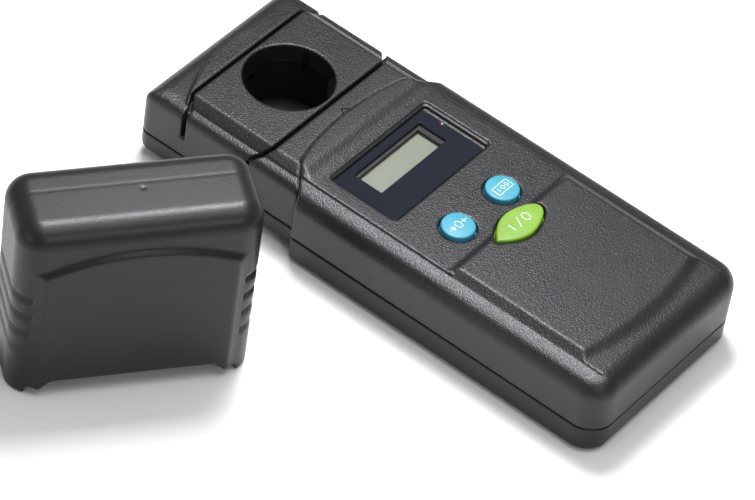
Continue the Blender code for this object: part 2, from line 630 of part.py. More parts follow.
# hollow, with extra room behind the front field
cut(cap, loft([rounded(-31.6, 31.6, 2.9, 27.8, 5.0, z, 4) for z in (-2.0, 55.6)]
              + [rounded(-30.0, 30.0, 4.2, 26.2, 4.0, 59.3, 4)]))
cut(cap, block(-27.4, 27.4, 1.4, 6.0, -2.0, 44.0))
# mouth: the front edge is raised between the two legs
cut(cap, loft([[(x, y, z) for x, z in ((-29.9, -1.0), (-29.3, 0.6), (-28.9, 2.8), (-26.4, 2.8), (-22.4, 5.6), (22.4, 5.6), (26.4, 2.8), (28.9, 2.8), (29.3, 0.6), (29.9, -1.0))]
               for y in (-3.0, 6.0)]))
smooth(cap)
cap.location = Vector(CAP_AT) * MM
cap.rotation_euler = (0.0, 0.0, CAP_TURN)
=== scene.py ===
import math

import bmesh
import bpy
import numpy as np
from mathutils import Matrix, Vector


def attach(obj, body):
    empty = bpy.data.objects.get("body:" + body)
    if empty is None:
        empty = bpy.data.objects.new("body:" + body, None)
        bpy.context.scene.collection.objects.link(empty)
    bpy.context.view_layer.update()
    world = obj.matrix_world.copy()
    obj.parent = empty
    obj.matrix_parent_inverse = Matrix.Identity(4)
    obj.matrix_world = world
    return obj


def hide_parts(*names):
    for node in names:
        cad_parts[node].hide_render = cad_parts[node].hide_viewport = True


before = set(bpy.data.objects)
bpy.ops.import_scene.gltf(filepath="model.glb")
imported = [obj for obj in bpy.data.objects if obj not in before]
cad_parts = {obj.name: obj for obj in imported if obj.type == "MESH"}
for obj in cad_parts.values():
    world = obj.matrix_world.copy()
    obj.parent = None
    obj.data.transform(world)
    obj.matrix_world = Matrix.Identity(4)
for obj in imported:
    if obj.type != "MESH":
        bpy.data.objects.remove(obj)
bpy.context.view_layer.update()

MM = 0.001


# ------------------------------------------------------------------ distance fields (millimetres)
def rmax(a, b, r):
    """Intersection of two fields with its outer edge rounded to radius r."""
    return np.minimum(np.maximum(a, b), -r) + np.hypot(np.maximum(a + r, 0), np.maximum(b + r, 0))


def rmin(a, b, r):
    """Union of two fields with its inner corner filled to radius r."""
    return -rmax(-a, -b, r)


def smax(a, b, k):
    h = np.maximum(k - np.abs(a - b), 0) / k
    return np.maximum(a, b) + h * h * k * 0.25


def smin(a, b, k):
    return -smax(-a, -b, k)


def step01(a, b, t):
    u = np.clip((t - a) / (b - a), 0, 1)
    return u * u * (3 - 2 * u)


def rect(x, y, x0, x1, y0, y1, r=0.0):
    qx = np.abs(x - (x0 + x1) / 2) - (x1 - x0) / 2 + r
    qy = np.abs(y - (y0 + y1) / 2) - (y1 - y0) / 2 + r
    return np.hypot(np.maximum(qx, 0), np.maximum(qy, 0)) + np.minimum(np.maximum(qx, qy), 0) - r


def plan(x, y, half, y0, y1, r_near, r_far):
    """Rounded rectangle with its own corner radius at each end."""
    r = np.where(y > (y0 + y1) / 2, r_far, r_near)
    return rect(x, y, -half, half, y0, y1, r)


def poly(x, y, points):
    """Signed distance to a closed outline, negative inside."""
    x, y = np.broadcast_arrays(x, y)
    best = np.full(x.shape, 1e9)
    inside = np.zeros(x.shape, bool)
    for (ax, ay), (bx, by) in zip(points, points[1:] + points[:1]):
        ex, ey = bx - ax, by - ay
        wx, wy = x - ax, y - ay
        t = np.clip((wx * ex + wy * ey) / (ex * ex + ey * ey), 0, 1)
        best = np.minimum(best, (wx - t * ex) ** 2 + (wy - t * ey) ** 2)
        if ay != by:
            inside ^= ((ay > y) != (by > y)) & (x < ex * (y - ay) / ey + ax)
    return np.where(inside, -1, 1) * np.sqrt(best)


def box3(x, y, z, x0, x1, y0, y1, z0, z1):
    return np.maximum(rect(x, y, x0, x1, y0, y1), np.abs(z - (z0 + z1) / 2) - (z1 - z0) / 2)


def tube(x, y, z, cx, cy, r, z0, z1):
    return np.maximum(np.hypot(x - cx, y - cy) - r, np.abs(z - (z0 + z1) / 2) - (z1 - z0) / 2)


def segment(x, y, z, a, b, r):
    """Rod with round ends from a to b."""
    ax, ay, az = a
    ex, ey, ez = (q - p for p, q in zip(a, b))
    t = np.clip(((x - ax) * ex + (y - ay) * ey + (z - az) * ez) / (ex * ex + ey * ey + ez * ez), 0, 1)
    return np.sqrt((x - ax - t * ex) ** 2 + (y - ay - t * ey) ** 2 + (z - az - t * ez) ** 2) - r


class Volume:
    """Distances on a grid, built up shape by shape, and the surface where they are zero."""

    def __init__(self, low, high, step):
        self.step = step
        self.axes = [np.arange(a, b + step, step) for a, b in zip(low, high)]
        self.f = np.full([len(a) for a in self.axes], 30.0)

    def apply(self, how, shape, x=(-999, 999), y=(-999, 999), z=(-999, 999)):
        spans = tuple(
            slice(int(np.searchsorted(axis, low)), int(np.searchsorted(axis, high, "right")))
            for axis, (low, high) in zip(self.axes, (x, y, z))
        )
        gx, gy, gz = (axis[s] for axis, s in zip(self.axes, spans))
        found = shape(gx[:, None, None], gy[None, :, None], gz[None, None, :])
        self.f[spans] = how(self.f[spans], found)

    def add(self, shape, k=0.0, **where):
        self.apply((lambda f, g: smin(f, g, k)) if k else np.minimum, shape, **where)

    def cut(self, shape, r=0.0, **where):
        self.apply((lambda f, g: rmax(f, -g, r)) if r else (lambda f, g: np.maximum(f, -g)), shape, **where)

    def keep(self, shape, r=0.0, **where):
        self.apply((lambda f, g: rmax(f, g, r)) if r else np.maximum, shape, **where)

    def surface(self):
        """(points, quads): one point in each cell that the surface crosses."""
        f = self.f
        f[np.abs(f) < 1e-6] = 1e-6
        inside = f < 0
        cells = [slice(None, -1), slice(1, None)]
        count = sum(
            inside[cells[i], cells[j], cells[k]].astype(np.int8) for i in (0, 1) for j in (0, 1) for k in (0, 1)
        )
        active = (count > 0) & (count < 8)
        where = np.argwhere(active)
        index = np.full(active.shape, -1, np.int64)
        index[active] = np.arange(len(where))
        corners = np.array([(i, j, k) for i in (0, 1) for j in (0, 1) for k in (0, 1)])
        value = np.stack([f[tuple((where + c).T)] for c in corners], 1)
        total = np.zeros((len(where), 3))
        hits = np.zeros(len(where))
        for a in range(8):
            for b in range(a + 1, 8):
                if np.abs(corners[a] - corners[b]).sum() != 1:
                    continue
                crossed = (value[:, a] < 0) != (value[:, b] < 0)
                t = np.where(crossed, value[:, a] / np.where(crossed, value[:, a] - value[:, b], 1), 0)
                total += np.where(crossed[:, None], corners[a] + t[:, None] * (corners[b] - corners[a]), 0)
                hits += crossed
        low = np.array([axis[0] for axis in self.axes])
        points = (where + total / hits[:, None]) * self.step + low
        quads = []
        for axis in range(3):
            u, v = (axis + 1) % 3, (axis + 2) % 3
            near = [slice(1, -1)] * 3
            far = [slice(1, -1)] * 3
            near[axis], far[axis] = slice(None, -1), slice(1, None)
            first, second = inside[tuple(near)], inside[tuple(far)]
            at = np.argwhere(first != second)
            out = first[tuple(at.T)]
            at[:, u] += 1
            at[:, v] += 1
            ring = []
            for du, dv in ((1, 1), (0, 1), (0, 0), (1, 0)):
                cell = at.copy()
                cell[:, u] -= du
                cell[:, v] -= dv
                ring.append(index[tuple(cell.T)])
            ring = np.stack(ring, 1)
            quads.append(np.where(out[:, None], ring, ring[:, ::-1]))
        return points, np.concatenate(quads)

    def sample(self, field, points):
        low = np.array([axis[0] for axis in self.axes])
        at = (points - low) / self.step
        base = np.clip(np.floor(at).astype(int), 0, np.array(field.shape) - 2)
        t = at - base
        value = 0
        for i in (0, 1):
            for j in (0, 1):
                for k in (0, 1):
                    weight = (t[:, 0] if i else 1 - t[:, 0]) * (t[:, 1] if j else 1 - t[:, 1]) * (t[:, 2] if k else 1 - t[:, 2])
                    value = value + weight * field[base[:, 0] + i, base[:, 1] + j, base[:, 2] + k]
        return value

    def normals(self, points):
        found = np.stack([self.sample(g, points) for g in np.gradient(self.f)], 1)
        return found / np.maximum(np.linalg.norm(found, axis=1, keepdims=True), 1e-9)


def skin(name, volume, mat, most, place=None):
    """Object with the volume's surface, thinned to about `most` triangles, with normals from the field."""
    points, quads = volume.surface()
    normals = volume.normals(points)
    points = points - normals * np.clip(volume.sample(volume.f, points), -0.1, 0.1)[:, None] * 0.5
    mesh = bpy.data.meshes.new(name)
    mesh.vertices.add(len(points))
    mesh.vertices.foreach_set("co", (points * MM).ravel())
    mesh.loops.add(quads.size)
    mesh.loops.foreach_set("vertex_index", quads.ravel().astype(np.int32))
    mesh.polygons.add(len(quads))
    mesh.polygons.foreach_set("loop_start", np.arange(0, quads.size, 4, dtype=np.int32))
    mesh.update(calc_edges=True)
    obj = bpy.data.objects.new(name, mesh)
    bpy.context.scene.collection.objects.link(obj)
    thin = obj.modifiers.new("thin", "DECIMATE")
    thin.ratio = min(1.0, most / (2 * len(quads)))
    graph = bpy.context.evaluated_depsgraph_get()
    made = bpy.data.meshes.new_from_object(obj.evaluated_get(graph))
    obj.modifiers.remove(thin)
    obj.data = made
    made.name = name
    count = len(made.vertices)
    co = np.empty(count * 3)
    made.vertices.foreach_get("co", co)
    normals = volume.normals(co.reshape(-1, 3) / MM)
    made.shade_smooth()
    made.normals_split_custom_set_from_vertices([tuple(n) for n in normals])
    if place is not None:
        made.transform(place)
    made.materials.append(mat)
    return obj


# ------------------------------------------------------------------ materials
class Graph:
    def __init__(self, mat):
        mat.use_nodes = True
        self.tree = mat.node_tree
        self.shader = self.tree.nodes["Principled BSDF"]
        self.coords = self.node("ShaderNodeTexCoord").outputs["Object"]

    def node(self, kind, **values):
        made = self.tree.nodes.new(kind)
        for key, value in values.items():
            setattr(made, key, value)
        return made

    def wire(self, out, target):
        self.tree.links.new(out, target)

    def noise(self, scale, detail=2.0, rough=0.5, stretch=None):
        made = self.node("ShaderNodeTexNoise")
        made.inputs["Scale"].default_value = scale
        made.inputs["Detail"].default_value = detail
        made.inputs["Roughness"].default_value = rough
        source = self.coords
        if stretch:
            shift = self.node("ShaderNodeMapping")
            shift.inputs["Scale"].default_value = stretch
            self.wire(source, shift.inputs["Vector"])
            source = shift.outputs["Vector"]
        self.wire(source, made.inputs["Vector"])
        return made.outputs["Fac"]

    def cells(self, scale):
        made = self.node("ShaderNodeTexVoronoi")
        made.inputs["Scale"].default_value = scale
        self.wire(self.coords, made.inputs["Vector"])
        return made.outputs["Distance"]

    def math(self, kind, a, b):
        made = self.node("ShaderNodeMath", operation=kind)
        for slot, value in zip(made.inputs, (a, b)):
            if isinstance(value, (int, float)):
                slot.default_value = value
            else:
                self.wire(value, slot)
        return made.outputs[0]

    def span(self, value, low, high, out_low, out_high):
        made = self.node("ShaderNodeMapRange")
        made.inputs["From Min"].default_value = low
        made.inputs["From Max"].default_value = high
        made.inputs["To Min"].default_value = out_low
        made.inputs["To Max"].default_value = out_high
        self.wire(value, made.inputs["Value"])
        return made.outputs["Result"]

    def blend(self, value, first, second):
        made = self.node("ShaderNodeMix", data_type="RGBA")
        made.inputs["A"].default_value = (*first, 1)
        made.inputs["B"].default_value = (*second, 1)
        for slot in made.inputs:
            if slot.name == "Factor" and slot.type == "VALUE":
                self.wire(value, slot)
                break
        for slot in made.inputs:
            if slot.type == "RGBA":
                slot.default_value = (*(first if slot.name == "A" else second), 1)
        for slot in made.outputs:
            if slot.type == "RGBA":
                return slot

    def bump(self, height, distance, strength=1.0):
        made = self.node("ShaderNodeBump")
        made.inputs["Strength"].default_value = strength
        made.inputs["Distance"].default_value = distance
        self.wire(height, made.inputs["Height"])
        self.wire(made.outputs["Normal"], self.shader.inputs["Normal"])


def moulded(name, dark, light, rough, grain=1250.0, depth=0.0001, level=0.38):
    """Injection-moulded plastic with a spark-eroded grain."""
    mat = bpy.data.materials.new(name)
    g = Graph(mat)
    fine = g.noise(grain, 1.5, 0.55)
    coarse = g.noise(grain * 0.62, 1.0, 0.5)
    cloud = g.noise(38.0, 3.0, 0.55)
    height = g.math("ADD", g.math("MULTIPLY", fine, 1.0), g.math("MULTIPLY", coarse, 0.8))
    g.bump(height, depth)
    speck = g.span(fine, 0.38, 0.66, 0.0, 1.0)
    patch = g.span(cloud, 0.3, 0.7, 0.0, 0.5)
    g.wire(g.blend(g.math("ADD", g.math("MULTIPLY", speck, 0.5), patch), dark, light), g.shader.inputs["Base Color"])
    g.wire(g.math("ADD", g.span(fine, 0.35, 0.65, rough - 0.05, rough + 0.05), g.span(cloud, 0.3, 0.7, -0.03, 0.03)),
           g.shader.inputs["Roughness"])
    g.shader.inputs["Specular IOR Level"].default_value = level
    mat.diffuse_color = (*light, 1)
    return mat


def plain(name, dark, light, rough, metallic=0.0, scale=300.0, depth=0.00001, level=0.5, stretch=None, coat=0.0):
    """Smooth or brushed finish with slight unevenness."""
    mat = bpy.data.materials.new(name)
    g = Graph(mat)
    wave = g.noise(scale, 3.0, 0.6, stretch)
    cloud = g.noise(scale * 0.12, 2.0, 0.5)
    g.bump(wave, depth)
    g.wire(g.blend(g.span(cloud, 0.3, 0.7, 0.0, 1.0), dark, light), g.shader.inputs["Base Color"])
    g.wire(g.span(wave, 0.3, 0.7, rough * 0.85, rough * 1.15), g.shader.inputs["Roughness"])
    g.shader.inputs["Metallic"].default_value = metallic
    g.shader.inputs["Specular IOR Level"].default_value = level
    g.shader.inputs["Coat Weight"].default_value = coat
    g.shader.inputs["Coat Roughness"].default_value = 0.08
    mat.diffuse_color = (*light, 1)
    return mat


CASE = moulded("grained_charcoal", (0.008, 0.008, 0.0088), (0.015, 0.015, 0.0162), 0.37, grain=2600.0, depth=0.0001, level=0.42)
CASE_LOW = moulded("grained_charcoal_base", (0.009, 0.009, 0.0092), (0.015, 0.0148, 0.0145), 0.36, grain=2600.0, depth=0.00008, level=0.34)
CAP_MAT = moulded("grained_charcoal_cap", (0.010, 0.010, 0.010), (0.015, 0.0148, 0.0145), 0.37, grain=3200.0, depth=0.000035, level=0.32)
HOLDER = plain("black_acetal", (0.004, 0.004, 0.004), (0.008, 0.008, 0.008), 0.38, scale=500.0)
BLUE = plain("blue_key", (0.035, 0.25, 0.35), (0.05, 0.29, 0.39), 0.42, scale=900.0, depth=0.000008)
GREEN = plain("green_key", (0.15, 0.30, 0.022), (0.19, 0.35, 0.034), 0.42, scale=900.0, depth=0.000008)
WHITE = plain("white_print", (0.52, 0.60, 0.60), (0.60, 0.68, 0.68), 0.5, scale=700.0, depth=0.000004)
MASK = plain("printed_mask", (0.007, 0.009, 0.0145), (0.0115, 0.0145, 0.022), 0.13, scale=60.0, depth=0.000004, level=0.5)
LCD = plain("lcd_face", (0.220, 0.236, 0.183), (0.248, 0.265, 0.208), 0.5, scale=260.0, depth=0.000002, level=0.25)
ENGRAVED = plain("engraved_black", (0.002, 0.002, 0.002), (0.004, 0.004, 0.004), 0.9, level=0.1)
BLACK = plain("black_plastic", (0.010, 0.010, 0.010), (0.018, 0.018, 0.018), 0.5, scale=800.0)
BOARD = plain("board_resin", (0.012, 0.11, 0.045), (0.02, 0.16, 0.06), 0.4, scale=900.0, coat=0.3)
STEEL = plain("steel", (0.42, 0.42, 0.43), (0.58, 0.58, 0.58), 0.3, metallic=1.0, scale=600.0, stretch=(1, 1, 12))
NICKEL = plain("nickel", (0.50, 0.48, 0.44), (0.64, 0.62, 0.57), 0.28, metallic=1.0, scale=500.0, stretch=(10, 1, 1))
SEAL = plain("grey_rubber", (0.05, 0.05, 0.05), (0.08, 0.08, 0.08), 0.8, scale=1200.0)
CHIP = plain("chip_resin", (0.014, 0.014, 0.015), (0.025, 0.025, 0.026), 0.55, scale=1500.0)
CELL = plain("cell_jacket", (0.20, 0.17, 0.035), (0.30, 0.26, 0.06), 0.3, scale=200.0, coat=0.4)
DIODE = plain("clear_resin", (0.50, 0.55, 0.58), (0.62, 0.67, 0.69), 0.1, scale=150.0, coat=0.6)
FILTER = plain("filter_glass", (0.16, 0.03, 0.14), (0.24, 0.05, 0.20), 0.06, scale=80.0, coat=0.8)
STRIP = plain("elastomer", (0.42, 0.18, 0.16), (0.55, 0.25, 0.22), 0.6, scale=1500.0, stretch=(8, 1, 1))


def clear_pane():
    mat = bpy.data.materials.new("clear_pane")
    mat.use_nodes = True
    tree = mat.node_tree
    shader = tree.nodes["Principled BSDF"]
    shader.inputs["Base Color"].default_value = (0.02, 0.02, 0.02, 1)
    shader.inputs["Roughness"].default_value = 0.16
    shader.inputs["Alpha"].default_value = 0.06
    wave = tree.nodes.new("ShaderNodeTexNoise")
    wave.inputs["Scale"].default_value = 60.0
    coords = tree.nodes.new("ShaderNodeTexCoord")
    tree.links.new(coords.outputs["Object"], wave.inputs["Vector"])
    bump = tree.nodes.new("ShaderNodeBump")
    bump.inputs["Distance"].default_value = 0.00001
    tree.links.new(wave.outputs["Fac"], bump.inputs["Height"])
    tree.links.new(bump.outputs["Normal"], shader.inputs["Normal"])
    return mat


CLEAR = clear_pane()

# ------------------------------------------------------------------ case sizes
HALF_W, FOOT_Y, HEAD_Y, STEP_Y, HEAD_HALF = 34.0, -83.7, 83.7, 24.7, 31.2
TOP, DECK, SHOULDER_R = 26.4, 27.7, 6.3
HEAD_TOP, HEAD_R, NECK = 25.4, 3.6, 27.2
SEAM = 9.0
WELL = (0.0, 55.2)
WELL_R = 13.4
SLOT_W = 1.6
# each slot: y across the deck, y at the foot of the deck's slope, y on the sides
SLOTS = ((40.2, 42.2, 44.6), (70.4, 68.3, 67.7))
ZERO_XY, READ_XY, POWER_XY = (-11.8, -15.9), (8.7, -15.7), (0.5, -27.7)
CASE_SCREWS = [(-28.0, -66.0), (28.0, -66.0), (-24.6, 76.4), (24.6, 76.4)]
BOARD_SCREWS = [(-24.0, 18.0), (24.0, 18.0), (-24.0, -46.0), (24.0, -46.0)]
STEP = 0.4

right = [(33.2, STEP_Y), (31.4, 25.4), (28.6, 27.6), (25.6, 29.9), (22.9, 31.7)]
bow = [(x, 34.7 - 3.0 * (x / 22.9) ** 2) for x in (18.0, 12.0, 6.0, 0.0, -6.0, -12.0, -18.0)]
RIM = [(-40.0, -95.0), (40.0, -95.0), (40.0, STEP_Y)] + right + bow + [(-x, y) for x, y in reversed(right)] + [(-40.0, STEP_Y)]


def slot_line(x, slot):
    return np.interp(np.abs(x), (24.7, 28.0, 31.2), slot)


def leaf(a, b, count=28, round_end=0.9):
    """Outline of the power key: pointed at one end and rounder at the other."""
    edge = []
    for i in range(count + 1):
        x = -a * math.cos(math.pi * i / count)
        point = 1 - (x / a) ** 2
        fat = math.sqrt(max(point, 0.0))
        s = min(max((x + 0.2 * a) / (1.2 * a), 0.0), 1.0) * round_end
        edge.append((x, b * (point * (1 - s) + fat * s)))
    return [(x, -y) for x, y in edge] + [(x, y) for x, y in reversed(edge[1:-1])]


# ------------------------------------------------------------------ upper shell
def upper_shell():
    v = Volume((-35.0, -84.8, 8.2), (35.0, 84.8, 29.2), STEP)
    v.add(lambda x, y, z: rmax(plan(x, y, HALF_W, FOOT_Y, 62.0, 8.0, 2.0), z - TOP, SHOULDER_R))
    # narrow sloped facet along each shoulder, a small step below the deck
    v.keep(lambda x, y, z: np.minimum(0.242 * (np.abs(x) - 27.5) + 0.970 * (z - 26.1), np.abs(x) - 27.75), r=0.7)

    def flank(x, z):
        return (1.95 * (np.abs(x) - 24.9) + 3.1 * (z - DECK)) / 3.662

    def foot(x, y, z):
        side = flank(x, z)
        front = (1.5 * (y + 26.2) + 1.9 * (z - DECK)) / 2.421
        far = -69.7 - 2.7 * (1 - (x / 24.9) ** 2)
        run = far - (-71.3 - 5.1 * (1 - (x / 29.0) ** 2))
        end = (1.5 * (far - y) + run * (z - DECK)) / np.hypot(1.5, run)
        top = z - DECK
        body = smax(smax(smax(top, side, 0.22), front, 0.5), end, 0.35)
        return np.maximum(np.maximum(body, np.abs(x) - 29.4), np.maximum(24.8 - z, FOOT_Y + 4.5 - y))

    v.add(foot, k=0.5, y=(-82, -20), z=(22, 30))

    def ridge(x, y, z):
        side = flank(x, z)
        front = (1.5 * (28.7 - y) + 4.0 * (z - DECK)) / 4.272
        return np.maximum(np.maximum(smax(smax(z - DECK, side, 0.22), front, 0.5), np.abs(x) - 29.4), 24.8 - z)

    v.add(ridge, k=0.7, y=(18, 60), z=(22, 30))
    # the raised fields' flanks run down into a crease just below the shoulders
    for low_y, high_y in ((-71.6, -26.4), (28.2, 40.0)):
        v.cut(lambda x, y, z: np.maximum(np.maximum(-flank(x, z), np.abs(x) - 28.1), np.maximum(low_y - y, y - high_y)),
              y=(-75, 42), z=(24, 30))
    # fine line down both sides of the display zone
    v.cut(lambda x, y, z: segment(np.abs(x), y, z, (27.9, -26.6, 26.15), (27.9, 28.4, 26.15), 0.34), r=0.08,
          y=(-30, 31), z=(24, 30))
    v.keep(lambda x, y, z: poly(x, y, RIM), r=0.5)

    h = Volume((-35.0, -84.8, 8.2), (35.0, 84.8, 29.2), STEP)
    h.add(lambda x, y, z: rmax(rmax(plan(x, y, HEAD_HALF, 12.0, HEAD_Y, 1.5, 4.0), z - HEAD_TOP, HEAD_R),
                               rmax(y - HEAD_Y, z - HEAD_TOP, 7.0), 0.6))
    h.keep(lambda x, y, z: 0.242 * (np.abs(x) - 27.6) + 0.970 * (z - 25.25), r=0.6, y=(18, 80))

    def neck(x, y, z):
        side = (2.0 * (np.abs(x) - 24.7) + 3.3 * (z - NECK)) / 3.86
        ends = np.maximum(27.5 - y, y - slot_line(x, SLOTS[0]))
        return np.maximum(np.maximum(smax(z - NECK, side, 0.25), ends), np.maximum(24.2 - z, np.abs(x) - 28.2))

    h.add(neck, k=0.3, z=(22, 30))

    def block(x, y, z):
        side = (2.3 * (np.abs(x) - 24.7) + 3.3 * (z - 27.5)) / 4.02
        far = 71.0 + 6.3 * (1 - (x / 24.7) ** 2)
        end = (2.2 * (y - far) + 0.8 * (z - 27.5)) / 2.341
        body = smax(smax(z - 27.5, side, 0.25), end, 0.3)
        ends = np.maximum(slot_line(x, SLOTS[0]) - y, y - 78.6)
        return np.maximum(np.maximum(body, np.abs(x) - 28.2), np.maximum(ends, 24.2 - z))

    h.add(block, k=0.3, z=(22, 30))
    # fine line where the raised fields' slopes meet the shoulders
    h.cut(lambda x, y, z: segment(np.abs(x), y, z, (28.0, 20.0, 25.38), (28.0, 79.0, 25.38), 0.42), r=0.1, y=(22, 84), z=(23, 28))
    gap = lambda x, y, z: np.abs(poly(x, y, RIM) - 0.1) - 0.21
    shallow = np.maximum(gap(*(a[s] for a, s in zip(h.axes, [(slice(None), None, None), (None, slice(None), None), (None, None, slice(None))]))),
                         -(h.f + 0.6))
    v.add(lambda x, y, z: h.f)
    v.f = rmax(v.f, -shallow, 0.12)
    # hollow
    v.cut(lambda x, y, z: rmax(plan(x, y, HALF_W - 2.4, FOOT_Y + 2.4, STEP_Y - 2.2, 5.6, 1.5), z - 24.2, 5.0), y=(-85, 24))
    v.cut(lambda x, y, z: rmax(plan(x, y, HEAD_HALF - 2.4, 18.0, HEAD_Y - 2.4, 1.5, 3.0), z - 23.0, 4.6), y=(16, 85))
    for slot in SLOTS:
        low_y, high_y, side_y = min(slot) - 2.3, max(slot) + 2.3, slot[2]
        v.add(lambda x, y, z: box3(x, y, z, -29.8, 29.8, low_y, high_y, 20.9, 24.2), y=(low_y - 2, high_y + 2))
        v.add(lambda x, y, z: box3(np.abs(x), y, z, 26.4, 29.8, side_y - 2.3, side_y + 2.3, 14.4, 22.0),
              y=(low_y - 2, high_y + 2))
    v.add(lambda x, y, z: tube(x, y, z, *WELL, WELL_R + 2.1, 20.3, 25.2), y=(36, 74))
    for cx, cy in CASE_SCREWS:
        v.add(lambda x, y, z: tube(x, y, z, cx, cy, 3.0, 9.3, 24.4), x=(cx - 4, cx + 4), y=(cy - 4, cy + 4))
        v.cut(lambda x, y, z: tube(x, y, z, cx, cy, 1.4, 5.0, 17.0), x=(cx - 4, cx + 4), y=(cy - 4, cy + 4))
    for cx, cy in BOARD_SCREWS:
        v.add(lambda x, y, z: tube(x, y, z, cx, cy, 2.5, 19.4, 24.6), x=(cx - 4, cx + 4), y=(cy - 4, cy + 4))
        v.cut(lambda x, y, z: tube(x, y, z, cx, cy, 1.2, 15.0, 23.2), x=(cx - 4, cx + 4), y=(cy - 4, cy + 4))
    # slots
    for slot in SLOTS:
        def channel(x, y, z):
            outer = np.abs(x) > 28.6
            line = np.where(outer & (z < 22.6), slot[2], slot_line(x, slot))
            wide = np.interp(np.abs(x), (24.0, 30.0), (0.95, SLOT_W))
            across = np.abs(y - line) - wide / 2
            return np.maximum(across, np.where(outer, 15.6, 23.2) - z)
        v.cut(channel, r=0.3, y=(min(slot) - 4, max(slot) + 4))
    # sample well
    v.cut(lambda x, y, z: np.hypot(x - WELL[0], y - WELL[1]) - WELL_R, r=0.45, x=(-20, 20), y=(36, 75), z=(15, 30))
    for angle, inner, outer, half, low, high in ((17.0, 11.9, 14.6, 0.8, 16.8, 25.6), (-37.0, 11.9, 14.5, 2.9, 15.0, 25.0)):
        c, s = math.cos(math.radians(angle)), math.sin(math.radians(angle))
        v.cut(lambda x, y, z: box3((x - WELL[0]) * c + (y - WELL[1]) * s, -(x - WELL[0]) * s + (y - WELL[1]) * c, z,
                                   inner, outer, -half, half, low, high), x=(-20, 20), y=(36, 75))
    # display window
    v.cut(lambda x, y, z: np.maximum(rect(x, y, -22.2, 21.3, -1.9, 22.1, 1.2), 25.9 - z), r=0.25, x=(-26, 26), y=(-6, 26), z=(24, 30))
    v.cut(lambda x, y, z: np.maximum(rect(x, y, -22.2, 20.4, -1.9, 21.3, 1.0), 24.9 - z), r=0.12, x=(-26, 26), y=(-6, 26), z=(22, 30))
    v.cut(lambda x, y, z: np.maximum(rect(x, y, -18.5, 17.6, 2.0, 18.4, 0.4), 18.0 - z), x=(-26, 26), y=(-6, 26))
    # key holes
    for cx, cy in (ZERO_XY, READ_XY):
        v.cut(lambda x, y, z: np.hypot(x - cx, y - cy) - 5.45, r=0.4, x=(cx - 9, cx + 9), y=(cy - 9, cy + 9))
    outline = leaf(10.6, 5.55)
    v.cut(lambda x, y, z: poly(x - POWER_XY[0], y - POWER_XY[1], outline), r=0.5, x=(-14, 15), y=(-37, -18))
    v.keep(lambda x, y, z: SEAM + 0.3 - z, r=0.35)
    return v


case_upper = skin("case_upper", upper_shell(), CASE, 180000)
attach(case_upper, "meter")
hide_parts("top_shell")


# ------------------------------------------------------------------ lower shell
def lower_shell():
    v = Volume((-35.0, -84.8, -1.0), (35.0, 84.8, 16.2), STEP)

    def main(x, y, z):
        side = rmax(plan(x, y, HALF_W, FOOT_Y, STEP_Y, 8.0, 1.2), -z, 2.5)
        return np.maximum(side, rmax(FOOT_Y - y, -z, 3.4))

    v.add(main)
    v.add(lambda x, y, z: np.maximum(rmax(plan(x, y, HEAD_HALF, 14.0, HEAD_Y, 1.5, 4.0), 2.0 - z, 2.2),
                                     rmax(y - HEAD_Y, 2.0 - z, 6.0)), k=0.3)
    v.keep(lambda x, y, z: z - SEAM, r=0.35)
    v.cut(lambda x, y, z: rmax(plan(x, y, HALF_W - 2.4, FOOT_Y + 2.4, STEP_Y - 2.2, 5.6, 1.2), 2.0 - z, 1.5))
    v.cut(lambda x, y, z: rmax(plan(x, y, HEAD_HALF - 2.4, 18.0, HEAD_Y - 2.4, 1.5, 3.0), 4.0 - z, 2.4))
    v.add(lambda x, y, z: box3(x, y, z, -24.4, 24.4, -80.9, -26.9, 1.0, 15.2))
    v.add(lambda x, y, z: box3(x, y, z, -24.4, 24.4, -82.0, -79.9, 1.4, 7.2))
    v.cut(lambda x, y, z: box3(x, y, z, -22.6, 22.6, -79.9, -28.4, 1.9, 13.7))
    v.cut(lambda x, y, z: box3(x, y, z, -21.6, 21.6, -78.6, -29.7, -3.0, 2.2))
    v.cut(lambda x, y, z: np.maximum(rect(x, y, -24.2, 24.2, -79.8, -28.3, 1.2), z - 1.2), r=0.2)
    for cx, cy in CASE_SCREWS:
        floor = 1.0 if cy < 0 else 3.0
        near = dict(x=(cx - 5, cx + 5), y=(cy - 5, cy + 5))
        v.add(lambda x, y, z: tube(x, y, z, cx, cy, 3.0, floor, SEAM), **near)
        v.cut(lambda x, y, z: tube(x, y, z, cx, cy, 1.5, -3.0, 12.0), **near)
        v.cut(lambda x, y, z: tube(x, y, z, cx, cy, 2.5, -3.0, (4.6 if cy > 0 else 2.6)), r=0.2, **near)
    return v


case_lower = skin("case_lower", lower_shell(), CASE_LOW, 130000)
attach(case_lower, "meter")
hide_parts("bottom_shell")


